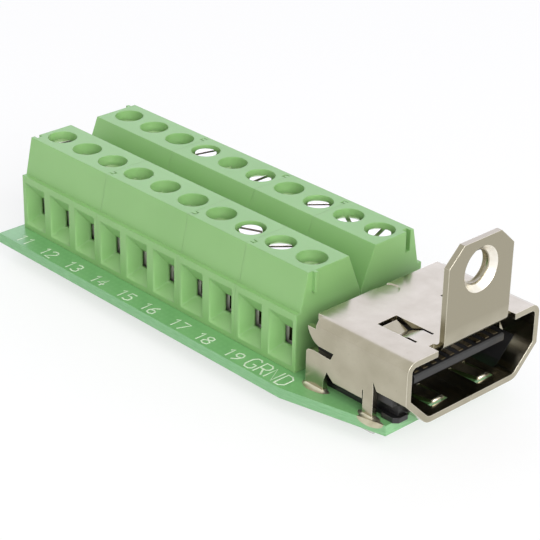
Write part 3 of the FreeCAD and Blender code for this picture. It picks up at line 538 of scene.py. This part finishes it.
shell = eased("receptacle_shell", [shell_nickel, chamfer_nickel_and_highlight], pick=hole_entry)
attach(shell, "root")
shell_low, shell_high = (np.array(corner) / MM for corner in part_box("receptacle_shell"))


def press_dimple(piece, centre, radius, depth, roof):
    """Cuts a shallow round dimple with a flat floor and a slanting wall into a flat roof."""
    turns = 40
    angle = np.linspace(0, 2 * math.pi, turns, endpoint=False)
    rings = []
    for height, reach in ((roof - depth, radius), (roof + depth, radius + 2 * depth)):
        rings.append(np.stack([centre[0] + reach * np.cos(angle), centre[1] + reach * np.sin(angle),
                               np.full(turns, height)], axis=-1))
    around = [[place, (place + 1) % turns, turns + (place + 1) % turns, turns + place]
              for place in range(turns)]
    faces = around + [list(range(turns))[::-1], list(range(turns, 2 * turns))]
    tool = mesh_piece("dimple_punch", np.concatenate(rings) * MM, faces, shell_nickel, smooth=False)
    press = piece.modifiers.new("dimple", "BOOLEAN")
    press.object = tool
    press.solver = "EXACT"
    pressed = bpy.data.meshes.new_from_object(
        piece.evaluated_get(bpy.context.evaluated_depsgraph_get()))
    piece.modifiers.clear()
    piece.data = pressed
    bpy.data.objects.remove(tool)


ROOF_TOP = 8.5
DIMPLE_CENTRE, DIMPLE_RADIUS, DIMPLE_DEPTH = (14.41, 0.25), 0.85, 0.07
press_dimple(shell, DIMPLE_CENTRE, DIMPLE_RADIUS, DIMPLE_DEPTH, ROOF_TOP)


EAR_THREAD_PITCH, EAR_THREAD_DEPTH, WALL_LAP = 0.5, 0.09, 0.02
EAR_THREAD_BACK, EAR_THREAD_FRONT = 1.08, 0.46


def tapped_hole(y, z, radius, back, front, pitch, depth):
    """Points and faces of a tapped hole's wall along X: a triangle wave of place and turn.

    r = R - depth * (1 - |2 frac(x / pitch - angle / 2 pi) - 1|), full width at both ends."""
    turns, rings = 56, 48
    angle = np.linspace(0, 2 * math.pi, turns, endpoint=False)
    around, along = np.meshgrid(angle, np.linspace(back, front, rings))
    phase = along / pitch - around / (2 * math.pi)
    reach = radius - depth * (1 - np.abs(2 * (phase - np.floor(phase)) - 1))
    reach[0] = reach[-1] = radius + WALL_LAP
    points = np.stack([along, y + reach * np.cos(around), z + reach * np.sin(around)], axis=-1)
    return points.reshape(-1, 3), tube_faces(rings, turns, inward=True)


thread_points, thread_faces = tapped_hole(0.0, EAR_HOLE_Z, EAR_HOLE_RADIUS,
                                          shell_high[0] - EAR_THREAD_BACK,
                                          shell_high[0] - EAR_THREAD_FRONT,
                                          EAR_THREAD_PITCH, EAR_THREAD_DEPTH)
ear_thread = mesh_piece("ear_thread", thread_points * MM, thread_faces, shell_nickel)
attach(ear_thread, "root")

# The floor springs' tips are coined round, to ride on a plug's shell.
SPRING_TIP_X, SPRING_TIP_Z, SPRING_PLACE = 22.55, 3.27, 2.6
SPRING_HALF, SPRING_THICK, SPRING_CROWN = 0.6, 0.3, 0.16
spring_points, spring_faces = joined([
    half_round((SPRING_TIP_X, side - SPRING_HALF, SPRING_TIP_Z),
               (SPRING_TIP_X, side + SPRING_HALF, SPRING_TIP_Z), (1, 0, 0), SPRING_THICK, SPRING_CROWN)
    for side in (-SPRING_PLACE, SPRING_PLACE)])
spring_tips = mesh_piece("spring_tips", spring_points * MM, spring_faces, clamp_nickel)
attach(spring_tips, "root")

# Insulator: black liquid crystal polymer, moulded round the contacts. It stands on the
# board inside the shell and carries the tongue that a plug slides over.


def black_polymer():
    """Glass-filled liquid crystal polymer: black, dull, with faint flow marks."""
    material, tree, place = new_material("black_liquid_crystal_polymer")
    along = add(tree, "ShaderNodeMapping", {"Vector": place, "Scale": (0.25, 1.0, 1.0)})
    flow = cloudy(tree, along.outputs[0], 0.5)
    tone = blend_colours(tree, spread(tree, flow.outputs[0], 0.35, 0.7), "#101011", "#1B1B1C")
    shader = add(tree, "ShaderNodeBsdfPrincipled", {
        "Base Color": tone, "Roughness": 0.42, "IOR": 1.6,
        "Normal": relief(tree, flow.outputs[0], 0.01, 0.5)})
    close_material(tree, shader)
    return material


polymer = black_polymer()
insulator = eased("insulator", [polymer])
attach(insulator, "root")

# Contacts: stamped copper alloy, gold plated, with ten blades above the tongue and nine
# below it. They are moulded into the insulator, and their tails lie on the board behind it.
contact_gold = plated_nickel("gold_on_copper_alloy", "#A89B80", "#83765A", 0.36, 0.5)
for name in ("contacts_upper", "contacts_lower"):
    contacts = eased(name, [contact_gold])
    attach(contacts, "root")

# Solder joints: bright tin alloy, drawn up round the pins and the shell's legs as a cone
# or a mound under the board. They hold the terminals and the shell.
solder_alloy = tinned("bright_solder")
for name in ("terminal_solder_joints", "shell_solder_joints"):
    joints = eased(name, [solder_alloy])
    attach(joints, "root")

# Wetted solder round the shell's legs on the parts side, and the bare tinned patch that the
# front legs' solder has run over, as far as the board's edge.
dull_tin = plated_nickel("dull_reflowed_tin", "#DEDAC4", "#CEC9B0", 0.4, 0.6)
bare_tin = plated_nickel("bare_tinned_patch", "#CFCAB2", "#BAB498", 0.45, 0.5)


FILLET_INSIDE, FILLET_WAVE, FILLET_LEAST, FILLET_LIFT = 0.04, 0.04, 0.02, 0.006


def wetted_fillet(x, y, half_x, half_y, reach_x, reach_out, rise):
    """A concave fillet round a leg: h = rise (1 - t) squared, with t from leg to rim.

    It runs from the leg's outline to an ellipse about it, and on the inner side, towards
    the middle of the board, hardly past the leg."""
    turns, rings = 64, 9
    angle = np.linspace(0, 2 * math.pi, turns, endpoint=False)
    cosine, sine = np.cos(angle), np.sin(angle)
    inner = np.minimum(half_x / np.maximum(np.abs(cosine), 1e-6), half_y / np.maximum(np.abs(sine), 1e-6))
    outward = sine * math.copysign(1, y) > 0
    across = half_y + np.where(outward, reach_out, FILLET_INSIDE)
    outer = 1 / np.sqrt((cosine / (half_x + reach_x)) ** 2 + (sine / across) ** 2)
    outer = np.maximum(outer * (1 + FILLET_WAVE * np.sin(3 * angle + x)), inner + FILLET_LEAST)
    share = np.linspace(0, 1, rings)[:, None]
    radius = (1 - share) * inner + share * outer
    height = board_top / MM + FILLET_LIFT + rise * (1 - share) ** 2 * np.ones_like(radius)
    points = np.stack([x + radius * cosine, y + radius * sine, height], axis=-1).reshape(-1, 3)
    return points, tube_faces(rings, turns, inward=True)


LEG_Y, LEG_HALF_Y = 7.2, 0.25
REAR_LEG = {"x": 14.25, "half_x": 0.95, "reach_x": 0.45, "reach_out": 0.5, "rise": 0.16}
FRONT_LEG = {"x": 19.915, "half_x": 0.515, "reach_x": 0.6, "reach_out": 0.34, "rise": 0.12}
fillets = [wetted_fillet(y=side, half_y=LEG_HALF_Y, **leg)
           for side in (-LEG_Y, LEG_Y) for leg in (REAR_LEG, FRONT_LEG)]
fillet_points, fillet_faces = joined(fillets)
leg_fillets = mesh_piece("shell_leg_fillets", fillet_points * MM, fillet_faces, dull_tin)
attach(leg_fillets, "root")

# The patch's outline swells as s = sqrt(1 - t squared), with t from -1 to 1 along the nose.
NOSE_FROM, NOSE_TO = (12.55, 9.5), (21.85, 7.4)
NOSE_SLOPE = (NOSE_TO[1] - NOSE_FROM[1]) / (NOSE_TO[0] - NOSE_FROM[0])
PATCH_X, PATCH_HALF, PATCH_FALL = 20.5, 1.15, 0.62
PATCH_LIFT, PATCH_OUT = 0.004, 0.006
patch_parts = []
for side in (-1, 1):
    place = np.linspace(-1, 1, 25)
    x = PATCH_X + PATCH_HALF * place
    swell = np.sqrt(np.maximum(1 - place ** 2, 0))
    edge = NOSE_FROM[1] + (x - NOSE_FROM[0]) * NOSE_SLOPE
    top, foot = board_top / MM + PATCH_LIFT, board_low[2] / MM
    inner = edge - (edge - LEG_Y) * swell
    lower = top - (top - foot) * swell * PATCH_FALL
    rows = np.stack([np.stack([x, side * inner, np.full_like(x, top)], axis=-1),
                     np.stack([x, side * (edge + PATCH_OUT), np.full_like(x, top)], axis=-1),
                     np.stack([x, side * (edge + PATCH_OUT), lower], axis=-1)])
    count = len(place)
    cells = [row * count + step for row in range(2) for step in range(count - 1)]
    strip_faces = [[cell, cell + 1, cell + count + 1, cell + count] for cell in cells]
    patch_parts.append((rows.reshape(-1, 3), strip_faces))
patch_points, patch_faces = joined(patch_parts)
patches = mesh_piece("tinned_patches", patch_points * MM, patch_faces, bare_tin, smooth=False)
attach(patches, "root")

# Studio: a pale table under a soft box, with even light all round.
floor_mesh = bpy.data.meshes.new("studio_floor")
FLOOR_REACH, FLOOR_HEIGHT = 2.0, -0.00001
floor_corners = [(across * FLOOR_REACH, along * FLOOR_REACH, FLOOR_HEIGHT)
                 for across, along in ((-1, -1), (1, -1), (1, 1), (-1, 1))]
floor_mesh.from_pydata(floor_corners, [], [(0, 1, 2, 3)])
floor = bpy.data.objects.new("studio_floor", floor_mesh)
bpy.context.scene.collection.objects.link(floor)
paper, paper_tree, paper_place = new_material("white_paper_sweep")


def shown_white(tree, share):
    """A share for rays from the camera and for those that a gloss or clear surface sends on."""
    path = add(tree, "ShaderNodeLightPath")
    seen = path.outputs["Is Camera Ray"]
    for kind in ("Is Glossy Ray", "Is Transmission Ray"):
        seen = add(tree, "ShaderNodeMath", {0: seen, 1: path.outputs[kind]},
                   operation="MAXIMUM").outputs[0]
    return add(tree, "ShaderNodeMath", {0: seen, 1: share}, operation="MULTIPLY").outputs[0]


FLOOR_SHARE = 0.68
sheet = add(paper_tree, "ShaderNodeBsdfDiffuse", {"Color": linear("#FBFBFB")})
lit = add(paper_tree, "ShaderNodeEmission", {"Color": (1, 1, 1, 1), "Strength": 1.0})
close_material(paper_tree, add(paper_tree, "ShaderNodeMixShader", {
    "Fac": shown_white(paper_tree, FLOOR_SHARE), 1: sheet.outputs[0], 2: lit.outputs[0]}))
floor_mesh.materials.append(paper)

world = bpy.data.worlds.new("studio")
world.use_nodes = True
bpy.context.scene.world = world
sky = world.node_tree
sky.nodes.clear()
even = add(sky, "ShaderNodeBackground", {"Color": (1, 1, 1, 1), "Strength": 0.53})
white = add(sky, "ShaderNodeBackground", {"Color": (1, 1, 1, 1), "Strength": 1.0})
surround = add(sky, "ShaderNodeMixShader", {
    "Fac": shown_white(sky, 1.0), 1: even.outputs[0], 2: white.outputs[0]})
add(sky, "ShaderNodeOutputWorld", {"Surface": surround.outputs[0]})


def soft_box(name, place, width, power, colour=(1.0, 1.0, 1.0)):
    """A square soft light turned towards the object."""
    lamp = bpy.data.lights.new(name, "AREA")
    lamp.shape = "SQUARE"
    lamp.size = width
    lamp.energy = power
    lamp.color = colour
    holder = bpy.data.objects.new(name, lamp)
    bpy.context.scene.collection.objects.link(holder)
    holder.location = place
    aim = Vector((0, 0, 0.005)) - Vector(place)
    holder.rotation_euler = aim.to_track_quat("-Z", "Y").to_euler()
    return holder


overhead_box = soft_box("overhead_box", (-0.12, -0.26, 0.42), 0.42, 0.27)
overhead_box.visible_glossy = False
soft_box("camera_side_box", (0.44, -0.15, 0.31), 0.35, 1.75)
soft_box("entry_box", (0.32, -0.31, 0.22), 0.22, 0.36)
soft_box("mouth_side_box", (0.48, 0.10, 0.20), 0.40, 0.6)
soft_box("back_box", (-0.39, 0.37, 0.27), 0.60, 0.80, (0.8, 0.8, 1.25))

# Camera: the photograph's corner view, from the mouth's side and a little above.
LENS_MM = 125.31
SENSOR_MM = 36.0
camera_place = Vector((101.945, -96.511, 75.873)) * MM
camera_aim = Vector((1.046, 0.282, 5.0)) * MM
camera_roll = math.radians(1.211)
eye = bpy.data.cameras.new("photograph_view")
eye.lens = LENS_MM
eye.sensor_width = SENSOR_MM
eye.clip_start = 0.01
camera = bpy.data.objects.new("photograph_view", eye)
bpy.context.scene.collection.objects.link(camera)
look = (camera_aim - camera_place).to_track_quat("-Z", "Y").to_matrix().to_4x4()
camera.matrix_world = Matrix.Translation(camera_place) @ look @ Matrix.Rotation(camera_roll, 4, "Z")
bpy.context.scene.camera = camera
bpy.context.scene.view_settings.view_transform = "Standard"
